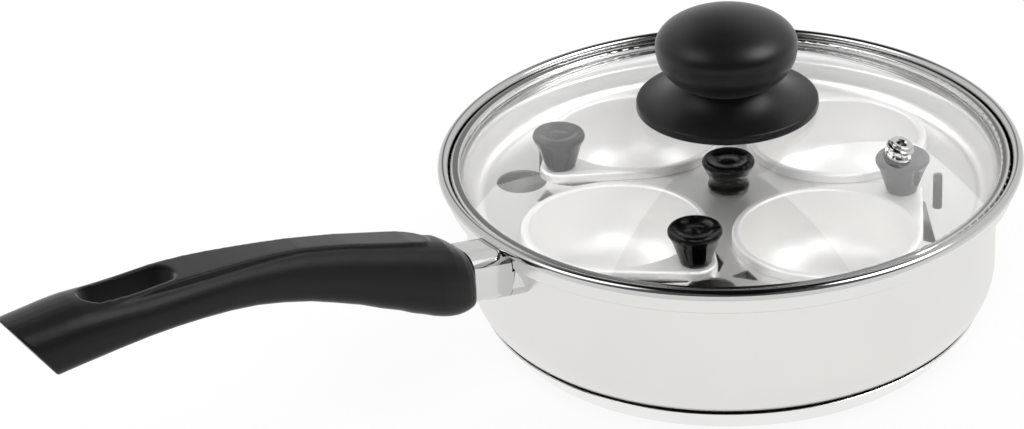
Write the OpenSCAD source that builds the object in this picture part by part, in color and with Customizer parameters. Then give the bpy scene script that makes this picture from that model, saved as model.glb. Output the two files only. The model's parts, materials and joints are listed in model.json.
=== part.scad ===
// Egg poacher pan: a steel pan with an encapsulated base and a moulded handle,
// a pressed tray that hangs on a ledge inside the rim, four lift-out egg cups with
// teardrop flanges, and a domed glass lid in a steel band.
// Millimetres. The origin is the centre of the base's underside, +Z is up and the
// handle points along -X.

/* [Pan] */
// Outside radius of the pan's straight wall
wall_r = 96; // [90:0.5:108]
// Thickness of the pan's steel wall
wall_t = 0.8; // [0.6:0.1:1.2]
// Height of the rolled rim's centre above the stove
rim_h = 64; // [60:0.5:76]
// Radius of the rolled rim's bead
bead_r = 1.9; // [1.5:0.1:2.3]
// How far the bead stands in over the collar above the ledge
bead_in = 0.5; // [0.2:0.1:0.8]
// Width of the inner ledge that carries the tray and the lid
ledge_w = 5.7; // [5.2:0.1:7]
// Depth of the ledge below the rim's centre
ledge_drop = 7.2; // [6.6:0.1:9]
// Radius of the bend where the wall runs out into the ledge
ledge_bend_r = 2.5; // [1.5:0.1:3]
// Radius of the bend where the ledge turns up into the collar
collar_bend_r = 1.6; // [1.4:0.1:2]
// Outside radius of the corner between wall and floor
corner_r = 18; // [14:0.5:22]
// Height of the underside of the pan's floor above the stove
floor_h = 5.5; // [4:0.1:7]

/* [Base] */
// Height of the base cap's edge above the stove
cap_h = 10.4; // [8:0.1:12]
// Thickness of the base cap's steel
cap_t = 0.6; // [0.4:0.1:1]
// Width of the groove between the cap's edge and the pan
groove_w = 0.9; // [0.4:0.1:1.5]
// Depth of the groove
groove_d = 1.2; // [0.6:0.1:2]
// Radius of the flat underside of the base
cap_foot_r = 81.6; // [74:0.1:83]
// Radius of the cap's lower edge
cap_edge_r = 5; // [3:0.5:6]

/* [Handle] */
// Depth of the handle's axis below the rim's centre, where it leaves the pan wall
handle_drop = 10.8; // [10:0.1:13]
// Slope of the bracket and the steel ferrule
handle_rise = 11; // [6:0.5:14]
// Length of the welded collar between wall and ferrule
collar_len = 5.5; // [4:0.5:8]
// Length of the ferrule that shows between collar and grip
ferrule_len = 16.2; // [10:0.1:22]
// Thickness of the ferrule's steel
ferrule_t = 1; // [0.8:0.1:1.6]
// Gap between collar and ferrule
ferrule_gap = 0.2; // [0.1:0.1:0.5]
// Length of the grip
grip_len = 165; // [150:1:190]
// Depth of the tongue inside the grip
tongue_in = 22; // [16:1:26]
// Width of the bracket's tongue
tongue_w = 10; // [7:0.5:11]
// Thickness of the bracket's tongue
tongue_t = 5; // [4:0.5:7]
// Clearance between the grip and the steel parts inside it
grip_clear = 0.2; // [0.1:0.05:0.4]
// Half the width of the hanging hole
hang_r = 6; // [4:0.5:7]
// Length of the hanging hole
hang_len = 33; // [20:1:40]
// Distance of the hanging hole's outer end from the tip of the grip
hang_end = 24; // [20:1:34]
// How far the grip's top panel stands proud
panel_rise = 0.6; // [0.3:0.1:1.2]
// Lean of the cut at the tip of the grip
tip_lean = 32; // [0:1:35]

/* [Tray] */
// Thickness of the tray plate
plate_t = 0.8; // [0.6:0.1:1.2]
// Depth of the tray's floor below its flange
tray_drop = 8.8; // [6:0.1:10]
// Gap under each piece that only rests on another
seat_gap = 0.1; // [0.05:0.05:0.3]
// Radial clearance between the tray's flange and the pan's collar
tray_clear = 1.2; // [0.8:0.1:2]
// Clearance between the tray's side and the pan wall
tray_wall_clear = 1.6; // [1:0.1:2.5]
// Bend radius at the edge of the tray's floor
tray_bend_r = 5; // [3:0.5:6]
// Bend radius under the tray's flange
tray_lip_r = 1.5; // [1:0.1:2]
// Lean of the tray's raised side
tray_lean = 20; // [10:1:30]
// Angle of the first egg cup, seen from above
tray_turn = 1.5; // [-10:0.5:10]
// Radius of the round steam holes
steam_r = 9.1; // [6:0.1:10]
// Distance of the steam holes from the centre
steam_at = 75.5; // [72:0.5:77]
// Length of the lifting slot
slot_len = 28; // [16:1:34]
// Width of the lifting slot
slot_w = 3.3; // [2:0.1:5]

/* [Egg cups] */
// Distance of a cup's centre from the pan's centre
cup_at = 52.4; // [50:0.1:54]
// Radius of a cup's mouth
mouth_r = 30; // [26:0.5:31]
// Outside radius of a cup's flange
flange_r = 33; // [32:0.1:34]
// Thickness of the cup's steel
cup_t = 0.8; // [0.6:0.1:1.2]
// Inside depth of a cup
cup_depth = 25.4; // [18:0.2:30]
// Height of the flange's skirt
skirt_h = 3.4; // [3:0.1:5]
// Radius of the rounded lip of a cup
lip_r = 1.2; // [1:0.1:1.5]
// Inside radius between a cup's wall and its bottom
bowl_r = 16; // [10:0.5:18]
// Lean of a cup's wall
bowl_lean = 8; // [4:0.5:12]
// Radial clearance of a cup in its hole
cup_clear = 0.5; // [0.3:0.1:1]
// Distance from a cup's centre to its knob
tab_len = 39.5; // [37:0.1:42]
// Radius of the round end of a cup's tab
tab_r = 7.5; // [7:0.1:8.5]
// Angle between a cup's outward direction and its tab
tab_turn = 96; // [92:1:100]

/* [Small knobs] */
// Radius of a small knob's cap
knob_cap_r = 9.5; // [8:0.1:10]
// Radius of a cup knob's foot
cup_knob_foot_r = 5.6; // [5:0.1:6.5]
// Height of a cup knob
cup_knob_h = 14; // [12:0.5:15]
// Radius of the tray knob's waist
tray_knob_waist_r = 6.9; // [6:0.1:8]
// Radius of the tray knob's foot
tray_knob_foot_r = 7.5; // [7:0.1:9]
// Height of the tray knob
tray_knob_h = 12.2; // [11:0.1:19]
// Round at the foot of the small knobs
foot_round = 1.1; // [0.4:0.1:1.5]
// Radius of the small brass inserts
insert_r = 3.4; // [3:0.1:4]
// Length of the small brass inserts
insert_len = 9; // [6:0.5:10]
// Radius of the small screws
screw_r = 1.95; // [1.5:0.05:2.4]
// Radius of the small screws' heads
head_r = 3.7; // [3.2:0.1:5]
// Height of the small screws' heads
head_h = 1.8; // [1.4:0.1:2]
// Radial clearance of a screw in its hole
screw_clear = 0.1; // [0.05:0.05:0.3]
// Radius of the washer under the tray knob
washer_r = 6; // [5:0.5:8]
// Thickness of the washers
washer_t = 1; // [0.6:0.1:1.5]

/* [Lid] */
// Radial clearance between the lid's band and the pan's bead
lid_clear = 0.3; // [0.2:0.1:0.8]
// Height of the lid's band
band_h = 6.4; // [6:0.1:7.5]
// Thickness of the band's steel
band_t = 0.7; // [0.5:0.1:1]
// Width of the band seen from above
band_w = 3.9; // [3:0.1:5]
// Thickness of the glass
glass_t = 3.6; // [3:0.1:4.2]
// Height of the glass dome above its flat edge
dome_h = 22.8; // [18:0.2:32]
// Width of the glass's flat edge
glass_edge_w = 3.8; // [3:0.1:6]
// Clearance between glass and band
glass_clear = 0.1; // [0.05:0.05:0.3]
// Distance of the steam vent from the centre
vent_at = 63.9; // [50:0.1:78]
// Angle of the steam vent, seen from above
vent_turn = -59; // [-70:0.1:-40]
// Outside radius of the vent's eyelet
vent_r = 5; // [4:0.1:6]
// Radius of the vent's tube in the glass
vent_tube_r = 3.4; // [3:0.1:4]
// Radius of the vent's hole
vent_hole_r = 1.75; // [1:0.05:2]
// Radius of the crimped ring on top of the eyelet
vent_top_r = 4; // [2.5:0.1:4.5]
// Height of the eyelet above the glass
vent_h = 2.8; // [1:0.1:3.5]

/* [Lid knob] */
// Radius of the knob's flared skirt
flare_r = 32.6; // [28:0.1:36]
// Height of the band round the skirt's edge
flare_h = 3.2; // [2.4:0.1:4]
// Radius of the knob's ball
ball_r = 25.2; // [22:0.2:28]
// Height of the knob's upper dome
ball_top = 11.8; // [9:0.2:14]
// Height of the knob's lower bowl
ball_low = 16.8; // [14:0.2:20]
// Height of the ball's widest circle above the skirt's lower edge
ball_up = 24.1; // [20:0.1:28]
// Radius of the knob's neck
neck_r = 17; // [13:0.2:20]
// Radius of the skirt's rounded edge
flare_edge_r = 0.8; // [0.4:0.1:1.1]
// Depth of the skirt's lower edge below the apex of the glass
flare_drop = 2.1; // [1:0.1:2.2]
// Thickness of the silicone ring between glass and knob, at the centre
seal_t = 1; // [0.6:0.1:2]
// Radius of the silicone ring and of the boss that stands on it
boss_r = 11; // [9:0.5:13]
// Radius of the lid screw
lid_screw_r = 2.45; // [2:0.05:3]
// Radius of the lid screw's head
lid_head_r = 4.6; // [4:0.1:6]
// Height of the lid screw's head
lid_head_h = 3; // [2:0.1:4]
// Radius of the washer under the glass
lid_washer_r = 8; // [6:0.5:12]
// Radius of the brass insert in the lid knob
lid_insert_r = 4.2; // [3.6:0.1:5]
// Length of the brass insert in the lid knob
lid_insert_len = 12; // [8:0.5:14]

/* [Hidden] */
$fn = 96;

STEEL = [0.80, 0.80, 0.79];
BRIGHT = [0.88, 0.88, 0.88];
CUP = [0.90, 0.90, 0.89];
BLACK = [0.07, 0.07, 0.075];
BRASS = [0.80, 0.65, 0.35];
GLASS = [0.85, 0.90, 0.90, 0.35];
SILICONE = [0.75, 0.75, 0.73];
ALUMINIUM = [0.70, 0.71, 0.72];

// Heights and radii that follow from the driving sizes
ledge_z = rim_h - ledge_drop;
ledge_under = ledge_z - wall_t;
handle_h = rim_h - handle_drop;
collar_r = wall_r + ledge_w + wall_t;
bead_at = collar_r - wall_t - bead_in + bead_r;
tray_flange_r = collar_r - wall_t - tray_clear;
tray_top = ledge_z + seat_gap + plate_t;
tray_z = tray_top - tray_drop;
tray_lip_at = wall_r - wall_t - tray_wall_clear + plate_t / cos(tray_lean)
    + tray_lip_r * cos(tray_lean) - 0.5;
tray_floor_r = tray_lip_at - tray_lip_r * cos(tray_lean) - tray_bend_r * cos(tray_lean)
    - (tray_drop - tray_lip_r - tray_bend_r + (tray_lip_r + tray_bend_r) * sin(tray_lean))
    * tan(tray_lean);
cup_top = tray_z + skirt_h;
cup_hole_r = mouth_r + cup_t + cup_clear;
band_r = collar_r - wall_t - bead_in - lid_clear;
band_z = tray_top + seat_gap;
glass_r = band_r - band_t - glass_clear;
glass_z = band_z + band_t + glass_clear;
dome_r = band_r - glass_edge_w - glass_clear - band_t;
dome_sphere_r = (dome_r * dome_r + dome_h * dome_h) / (2 * dome_h);
apex_z = glass_z + glass_t + dome_h;
seal_top = apex_z + seal_t;
flare_z = apex_z - flare_drop;
ball_z = flare_z + ball_up;
grip_at = (collar_len + ferrule_gap + ferrule_len) * cos(handle_rise);
grip_screw_at = grip_at / cos(handle_rise) + tongue_in - 7;
hang_out = grip_len - hang_end - hang_r;
hang_in = hang_out - hang_len + 2 * hang_r;

// Height of the top of the glass at a distance from the centre
function glass_top(r) =
    apex_z - dome_sphere_r + sqrt(dome_sphere_r * dome_sphere_r - r * r);

// Points along an arc in the plane of a profile
function arc(x, y, r, from, to, steps = 10) =
    [for (i = [0:steps]) let (a = from + (to - from) * i / steps) [x + r * cos(a), y + r * sin(a)]];

// Points along part of an ellipse
function ellipse_arc(x, y, rx, ry, from, to, steps = 10) =
    [for (i = [0:steps]) let (a = from + (to - from) * i / steps) [x + rx * cos(a), y + ry * sin(a)]];

// Points along a curve with one pull point
function bend(a, pull, b, steps = 8) =
    [for (i = [0:steps]) let (u = i / steps) (1 - u) * (1 - u) * a + 2 * u * (1 - u) * pull + u * u * b];

function back(points) = [for (i = [len(points) - 1:-1:0]) points[i]];

// Direction square to the outside of the line that touches two circles
function outer_normal(a, b) =
    let (d = [b.x - a.x, b.y - a.y], l = norm(d), c = (a.z - b.z) / l, s = sqrt(1 - c * c))
    [d.x / l * c + d.y / l * s, d.y / l * c - d.x / l * s];

// A rounded outline round circles [x, y, radius], listed anticlockwise
module outline(c) {
    n = len(c);
    polygon([for (i = [0:n - 1])
        let (before = outer_normal(c[(i + n - 1) % n], c[i]), after = outer_normal(c[i], c[(i + 1) % n]))
        each [[c[i].x + c[i].z * before.x, c[i].y + c[i].z * before.y],
              [c[i].x + c[i].z * after.x, c[i].y + c[i].z * after.y]]]);
    for (p = c) translate([p.x, p.y]) circle(r = p.z);
}

// The same outline as one polygon, with each corner in a few short chords
module chord_outline(c, chords = 4) {
    n = len(c);
    polygon([for (i = [0:n - 1])
        let (before = outer_normal(c[(i + n - 1) % n], c[i]), after = outer_normal(c[i], c[(i + 1) % n]),
            from = atan2(before.y, before.x), turn = (atan2(after.y, after.x) - from + 720) % 360)
        each arc(c[i].x, c[i].y, c[i].z, from, from + turn, chords)]);
}

// The same circles, each larger by one margin
function grow(c, margin) = [for (p = c) [p.x, p.y, p.z + margin]];

// Cross recess of a screw head, cut upwards from its underside
module cross_recess(r, depth) {
    for (turn = [0, 90])
        rotate([0, 0, turn]) translate([-r * 0.6, -r * 0.12, -0.01]) cube([r * 1.2, r * 0.24, depth]);
}

// A screw that points up, with the underside of what it clamps at height zero
module screw(shaft_r, shaft_len, top_r, top_h) {
    difference() {
        union() {
            cylinder(r = shaft_r, h = shaft_len);
            translate([0, 0, -top_h]) rotate_extrude()
                polygon(concat([[0, 0], [top_r * 0.7, 0]], arc(top_r * 0.7, top_h * 0.6, top_h * 0.6, -60, 0, 4),
                    [[top_r, top_h * 0.6], [top_r, top_h], [0, top_h]]));
        }
        translate([0, 0, -top_h]) cross_recess(top_r, top_h * 0.55);
    }
}

// Outside of the pan, or the surface at a depth inside its steel
function pan_path(depth) = concat(
    [[0, floor_h + depth]],
    arc(wall_r - corner_r, floor_h + corner_r, corner_r - depth, -90, 0, 14),
    arc(wall_r + ledge_bend_r, ledge_under - ledge_bend_r, ledge_bend_r + depth, 180, 90, 6),
    arc(collar_r - collar_bend_r, ledge_under + collar_bend_r, collar_bend_r - depth, -90, 0, 5));

// Everything inside the pan's outer surface
module pan_envelope() {
    bead_from = -acos((collar_r - bead_at) / bead_r);
    rotate_extrude() polygon(concat(pan_path(0),
        arc(bead_at, rim_h, bead_r, bead_from, 90, 12), [[0, rim_h + bead_r]]));
}

module pan_body() {
    color(STEEL) union() {
        rotate_extrude() polygon(concat(pan_path(0), [[collar_r, rim_h], [collar_r - wall_t, rim_h]],
            back(pan_path(wall_t))));
        rotate_extrude() translate([bead_at, rim_h]) circle(r = bead_r);
    }
}

// Half profile of the base, at a depth inside the cap's steel
module base_profile(depth) {
    edge = wall_r - corner_r + sqrt(corner_r * corner_r - pow(floor_h + corner_r - cap_h, 2)) + groove_w + cap_t;
    run = [edge - cap_foot_r, cap_h - cap_edge_r];
    slope = atan2(run.y, run.x) - acos(cap_edge_r / norm(run));
    out = [cos(slope), sin(slope)];
    top = [edge, cap_h] - depth * out + [-out.y, out.x] * depth * 2;
    polygon(concat([[0, depth]], arc(cap_foot_r, cap_edge_r, cap_edge_r - depth, -90, slope, 8),
        [top, [0, top.y]]));
}

module base_core() {
    color(ALUMINIUM) rotate_extrude() difference() {
        intersection() {
            base_profile(cap_t);
            square([wall_r, cap_h - groove_d]);
        }
        polygon(concat(pan_path(0), [[0, rim_h]]));
    }
}

module base_cap() {
    color(STEEL) rotate_extrude() difference() {
        intersection() {
            base_profile(0);
            square([wall_r, cap_h]);
        }
        base_profile(cap_t);
    }
}

// Cross-section of the collar and the ferrule, with large round corners
STUB = [[5.0, -5.0, 4.3], [3.7, 3.4, 5.6], [-3.7, 3.4, 5.6], [-5.0, -5.0, 4.3]];

// Places a piece on the handle's sloping axis, with x measured from the pan wall
module on_handle() {
    rotate([0, 0, 180]) translate([wall_r, 0, handle_h]) rotate([0, -handle_rise, 0]) children();
}

// Extrudes a cross-section along the handle's axis
module along_handle(from, to) {
    translate([from, 0, 0]) rotate([90, 0, 90]) linear_extrude(to - from) children();
}

tongue_end = grip_at / cos(handle_rise) + tongue_in;

module tongue(margin = 0) {
    translate([0, -tongue_w / 2 - margin, -tongue_t / 2 - margin])
        cube([tongue_end + margin, tongue_w + 2 * margin, tongue_t + 2 * margin]);
}

module handle_bracket() {
    color(STEEL) difference() {
        on_handle() {
            along_handle(-6, collar_len) chord_outline(STUB, 6);
            tongue();
        }
        pan_envelope();
        on_handle() translate([grip_screw_at, 0, -tongue_t]) cylinder(r = screw_r + screw_clear, h = 2 * tongue_t);
    }
}

module handle_ferrule() {
    color(BRIGHT) difference() {
        on_handle() along_handle(collar_len + ferrule_gap, grip_at + ferrule_len) difference() {
            chord_outline(STUB, 6);
            chord_outline(grow(STUB, -ferrule_t), 6);
        }
        on_grip() translate([stretched(grip_front) - ferrule_gap, -tongue_end, -tongue_end]) cube(2 * tongue_end);
        translate([0, 0, ledge_under - ferrule_gap]) cylinder(r = collar_r + ferrule_gap, h = ledge_drop);
        translate([0, 0, rim_h - bead_r - ferrule_gap])
            cylinder(r = bead_at + bead_r + ferrule_gap, h = 4 * bead_r);
    }
}

// Side view and width of the grip: distance along it, then the heights of its top and
// underside above the handle's foot, then half its width
grip_front = 1.2;
GRIP = [[grip_front, 14.2, -5.6, 10.0], [2.4, 15.4, -6.0, 10.9], [4.8, 17.6, -6.3, 11.7],
    [9, 20.8, -6.3, 12.3], [15, 22.9, -4.6, 12.6], [22, 25.6, -1.2, 12.3],
    [31, 28.6, 3.6, 11.8], [46, 33.3, 11.3, 11.0], [64, 38.2, 19.3, 10.4],
    [84, 41.7, 25.6, 10.6], [104, 44.2, 28.9, 11.8], [124, 45.7, 30.2, 12.8],
    [144, 47.7, 29.3, 12.9], [156, 47.4, 28.4, 12.6], [172, 46.9, 26.0, 12.0]];
grip_drawn_len = 165;

// Half the width of the flat panel on top of the grip
PANEL = [[13.4, 1.0], [14.2, 2.8], [16, 4.3], [18.8, 5.3], [26, 5.8], [46, 5.4], [64, 5.2],
    [84, 6.6], [100, 7.9], [128, 8.4], [146, 8.4], [150, 8.4]];

// Row of a table in which a distance falls
function row_at(table, s, i = 0) =
    i >= len(table) - 2 || s < table[i + 1][0] ? i : row_at(table, s, i + 1);

// Smooth values between the rows of a table
function smooth_at(table, s) =
    let (i = row_at(table, s),
        u = (s - table[i][0]) / (table[i + 1][0] - table[i][0]),
        a = table[max(i - 1, 0)], b = table[i], c = table[i + 1],
        d = table[min(i + 2, len(table) - 1)])
    0.5 * (2 * b + (c - a) * u + (2 * a - 5 * b + 4 * c - d) * u * u
        + (3 * b - a - 3 * c + d) * u * u * u);

function power(v, p) = sign(v) * pow(abs(v), p);

// Share of the way along the stretch in which the panel runs out into the grip's round top
function run_out(s) = min(1, max(0, (s - 112) / 32));

TOP_POWER = 0.84;
LOW_POWER = 0.42;

// One ring of the grip: a superellipse, rounded above and boxy below
function grip_ring(s, count = 36) =
    let (g = smooth_at(GRIP, s), top = g[1] - panel_rise * (1 - run_out(s)), low = g[2],
        mid = low + 0.45 * (top - low))
    [for (j = [0:count - 1]) let (a = 360 * j / count, p = a < 180 ? TOP_POWER : LOW_POWER)
        [0, g[3] * power(cos(a), p), mid + (a < 180 ? top - mid : mid - low) * power(sin(a), p)]];

// How far the grip's round top falls from its middle to a distance beside it
function side_fall(g, w) =
    0.55 * (g[1] - g[2]) * (1 - pow(1 - pow(w / g[3], 2 / TOP_POWER), TOP_POWER / 2));

// One ring of the panel: a low slab with a chamfered edge that sinks into the grip as it runs out
function panel_ring(s) =
    let (g = smooth_at(GRIP, s), w = smooth_at(PANEL, s)[1], sunk = run_out(s), c = 0.35,
        top = g[1] - 0.2 * sunk, side = top - sunk * (side_fall(g, w) + c))
    [[0, w, side - 3], [0, w, side - c], [0, w - c, side], [0, 0, top], [0, -w + c, side],
        [0, -w, side - c], [0, -w, side - 3]];

// A skin through rings of points, closed at both ends
module loft(stations, rings) {
    n = len(rings[0]);
    polyhedron(
        points = [for (i = [0:len(rings) - 1]) each [for (p = rings[i]) [stations[i], p.y, p.z]]],
        faces = concat([[for (j = [0:n - 1]) j]],
            [for (i = [0:len(rings) - 2], j = [0:n - 1])
                let (a = i * n + j, b = i * n + (j + 1) % n) each [[a, a + n, b], [b, a + n, b + n]]],
            [[for (j = [n - 1:-1:0]) (len(rings) - 1) * n + j]]));
}

// Puts a piece of the grip in place, stretched from its drawn length only
module on_grip() {
    rotate([0, 0, 180]) translate([wall_r + grip_at - stretched(grip_front), 0, handle_h]) children();
}

GRIP_STATIONS = [grip_front, 1.7, 2.4, 3.4, 4.8, 6.8, 9, 12, 15, 18.5, 22, 26.5, 31, 38, 46, 55, 64, 74, 84,
    94, 104, 114, 124, 134, 144, 150, 156, 164, 172];
PANEL_STATIONS = [13.4, 13.7, 14.2, 15, 16, 17.2, 18.8, 22, 26, 36, 46, 55, 64, 74, 84, 92, 100,
    107, 112, 116, 120, 125, 130, 136, 142, 146, 150];
function stretched(s) = s * grip_len / grip_drawn_len;

module handle_grip() {
    color(BLACK) difference() {
        on_grip() {
            loft([for (s = GRIP_STATIONS) stretched(s)], [for (s = GRIP_STATIONS) grip_ring(s)]);
            loft([for (s = PANEL_STATIONS) stretched(s)], [for (s = PANEL_STATIONS) panel_ring(s)]);
        }
        on_grip() translate([grip_len, 0, 44]) rotate([0, tip_lean, 0]) translate([0, -20, -60]) cube([40, 40, 90]);
        on_grip() translate([0, 0, 10]) linear_extrude(50) outline([[hang_in, 0, hang_r], [hang_out, 0, hang_r]]);
        on_handle() {
            tongue(grip_clear);
            translate([grip_screw_at, 0, -30]) cylinder(r = screw_r + 2 * screw_clear, h = 30);
            translate([grip_screw_at, 0, -30 - tongue_t / 2 - 4]) cylinder(r = head_r + 0.8, h = 30);
        }
    }
}

module handle_screw() {
    color(STEEL) on_handle() translate([grip_screw_at, 0, -tongue_t / 2 - 4])
        screw(screw_r, tongue_t + 3, head_r, head_h);
}

// Top surface of the tray, or the surface at a depth below it
function tray_path(depth) = concat(
    [[0, tray_z - depth]],
    arc(tray_floor_r, tray_z + tray_bend_r, tray_bend_r + depth, -90, -tray_lean, 8),
    arc(tray_lip_at, tray_top - tray_lip_r, tray_lip_r - depth, 180 - tray_lean, 90, 6),
    [[tray_flange_r, tray_top - depth]]);

function cup_angle(k) = tray_turn + 90 * (k - 1);

// Places a piece at a cup, with x along its tab
module at_cup(k) {
    rotate([0, 0, cup_angle(k)]) translate([cup_at, 0, 0]) rotate([0, 0, tab_turn]) children();
}

// Small vents beside a cup's tab and on the far side of the cup, in the cup's own place
tab_slope = 90 - asin((flange_r - tab_r) / tab_len);
module tab_vents() {
    chord_outline([[21.2, -24.8, 0.8], [22.6, -28.4, 1.0], [42.5, -7.6, 0.6]]);
    chord_outline([[33.6, 14.2, 0.6], [45.2, 4.8, 0.7], [42.2, 9.6, 0.9]]);
    chord_outline([[-40.6, 5.6, 0.8], [-37.6, -1.2, 0.7], [-35.6, 4.8, 0.8]]);
}

module tray_plate() {
    color(STEEL) difference() {
        rotate_extrude() polygon(concat(tray_path(0), back(tray_path(plate_t))));
        translate([0, 0, tray_z - plate_t - 1]) linear_extrude(plate_t + 2) {
            for (k = [1:4]) at_cup(k) {
                circle(r = cup_hole_r);
                tab_vents();
            }
            for (k = [1:3]) rotate([0, 0, cup_angle(k) + 45]) translate([steam_at, 0]) circle(r = steam_r);
            rotate([0, 0, cup_angle(4) + 45]) translate([steam_at - 1, 0])
                outline([[0, (slot_w - slot_len) / 2, slot_w / 2], [0, (slot_len - slot_w) / 2, slot_w / 2]]);
            circle(r = screw_r + screw_clear);
        }
    }
}

// Cap of a small knob: a rolled edge round a shallow dish with a raised eye
function knob_cap(h) = concat(
    [[knob_cap_r * 0.86, h - 5.2], [knob_cap_r * 0.9, h - 4.4]],
    arc(knob_cap_r - 1.7, h - 2.2, 1.7, -30, 80, 7),
    [[knob_cap_r - 3.2, h - 0.9], [knob_cap_r - 4.2, h - 1.5], [knob_cap_r - 6.4, h - 1.5],
        [knob_cap_r - 7.2, h - 1.1], [0.6, h - 0.9], [0, h - 0.9]]);

module knob_with_insert(profile) {
    difference() {
        rotate_extrude() polygon(profile);
        translate([0, 0, -1]) cylinder(r = insert_r, h = insert_len + 1);
    }
}

module insert() {
    difference() {
        cylinder(r = insert_r, h = insert_len);
        translate([0, 0, -1]) cylinder(r = screw_r + 0.05, h = insert_len);
    }
}

module tray_knob() {
    h = tray_knob_h;
    color(BLACK) translate([0, 0, tray_z]) knob_with_insert(concat(
        [[0, 0]], arc(tray_knob_foot_r - foot_round, foot_round, foot_round, -75, 0, 4),
        bend([tray_knob_foot_r, 1.4], [tray_knob_waist_r - 0.6, h * 0.36], [knob_cap_r * 0.86, h - 5.4], 8),
        knob_cap(h)));
}

module tray_knob_insert() {
    color(BRASS) translate([0, 0, tray_z]) insert();
}

module tray_knob_washer() {
    color(BRIGHT) translate([0, 0, tray_z - plate_t - washer_t]) difference() {
        cylinder(r = washer_r, h = washer_t);
        translate([0, 0, -1]) cylinder(r = screw_r + screw_clear, h = washer_t + 2);
    }
}

module tray_knob_screw() {
    color(STEEL) translate([0, 0, tray_z - plate_t - washer_t])
        screw(screw_r, plate_t + washer_t + insert_len - 2, head_r, head_h);
}

// Inner surface of a cup, or the surface at a distance outside it
function cup_path(out) =
    let (bottom = cup_top - cup_depth, lean = bowl_lean,
        lip = [mouth_r + lip_r, cup_top - lip_r],
        fall = lip.y + lip_r * sin(lean) - (bottom + bowl_r - bowl_r * sin(lean)),
        bowl_at = lip.x - lip_r * cos(lean) - fall * tan(lean) - bowl_r * cos(lean))
    concat([[lip.x + 0.8, cup_top - out]],
        arc(lip.x, lip.y, lip_r - out, 90, 180 - lean, 5),
        arc(bowl_at, bottom + bowl_r, bowl_r + out, -lean, -90, 12),
        [[0, bottom - out]]);

TEARDROP = [[0, 0, flange_r], [tab_len, 0, tab_r]];

module cup(k) {
    color(CUP) at_cup(k) difference() {
        union() {
            rotate_extrude() polygon(concat(cup_path(0), back(cup_path(cup_t))));
            translate([0, 0, cup_top - cup_t]) linear_extrude(cup_t) difference() {
                outline(TEARDROP);
                circle(r = mouth_r + lip_r + 0.4);
            }
            translate([0, 0, tray_z + seat_gap]) linear_extrude(skirt_h - seat_gap) difference() {
                outline(TEARDROP);
                outline(grow(TEARDROP, -cup_t));
            }
        }
        translate([tab_len, 0, cup_top - 2]) cylinder(r = screw_r + screw_clear, h = 3);
    }
}

module cup_knob(k) {
    h = cup_knob_h;
    color(BLACK) at_cup(k) translate([tab_len, 0, cup_top]) knob_with_insert(concat(
        [[0, 0]], arc(cup_knob_foot_r - foot_round, foot_round, foot_round, -75, 0, 4),
        [[knob_cap_r * 0.84, h - 5.6]],
        knob_cap(h)));
}

module cup_insert(k) {
    color(BRASS) at_cup(k) translate([tab_len, 0, cup_top]) insert();
}

module cup_screw(k) {
    color(STEEL) at_cup(k) translate([tab_len, 0, cup_top - cup_t])
        screw(screw_r, cup_t + insert_len - 2, head_r, head_h);
}

module cup_1() { cup(1); }
module cup_2() { cup(2); }
module cup_3() { cup(3); }
module cup_4() { cup(4); }
module cup_knob_1() { cup_knob(1); }
module cup_knob_2() { cup_knob(2); }
module cup_knob_3() { cup_knob(3); }
module cup_knob_4() { cup_knob(4); }
module cup_insert_1() { cup_insert(1); }
module cup_insert_2() { cup_insert(2); }
module cup_insert_3() { cup_insert(3); }
module cup_insert_4() { cup_insert(4); }
module cup_screw_1() { cup_screw(1); }
module cup_screw_2() { cup_screw(2); }
module cup_screw_3() { cup_screw(3); }
module cup_screw_4() { cup_screw(4); }

// Ball whose skin is the dome, or lies at a depth inside it, with facets fine enough for its size
module dome_ball(depth) {
    translate([0, 0, apex_z - dome_sphere_r]) sphere(r = dome_sphere_r - depth, $fn = 360);
}

// Places a piece on the glass at the steam vent, square to the dome
module at_vent() {
    rotate([0, 0, vent_turn]) translate([vent_at, 0, glass_top(vent_at)])
        rotate([0, asin(vent_at / dome_sphere_r), 0]) children();
}

module lid_glass() {
    color(GLASS) difference() {
        union() {
            intersection() {
                dome_ball(0);
                translate([0, 0, glass_z]) cylinder(r = dome_r, h = dome_h + glass_t + 1);
            }
            translate([0, 0, glass_z]) cylinder(r = glass_r, h = glass_t);
        }
        dome_ball(glass_t);
        translate([0, 0, glass_z]) cylinder(r = lid_screw_r + 0.3, h = dome_h + 2 * glass_t);
        at_vent() translate([0, 0, -2 * glass_t]) cylinder(r = vent_tube_r + 0.2, h = 3 * glass_t);
    }
}

module lid_band() {
    round_r = 1.5;
    channel_h = glass_t + 2 * glass_clear;
    color(BRIGHT) rotate_extrude() difference() {
        outline([[band_r - 0.8, band_z + 0.8, 0.8], [band_r - round_r, band_z + band_h - round_r, round_r],
            [band_r - band_w + 0.8, band_z + band_h - 0.8, 0.8], [band_r - band_w + 0.3, band_z + 0.3, 0.3]]);
        translate([band_r - band_w - 2, band_z + band_t]) square([band_w + 2 - band_t, channel_h]);
    }
}

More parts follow.
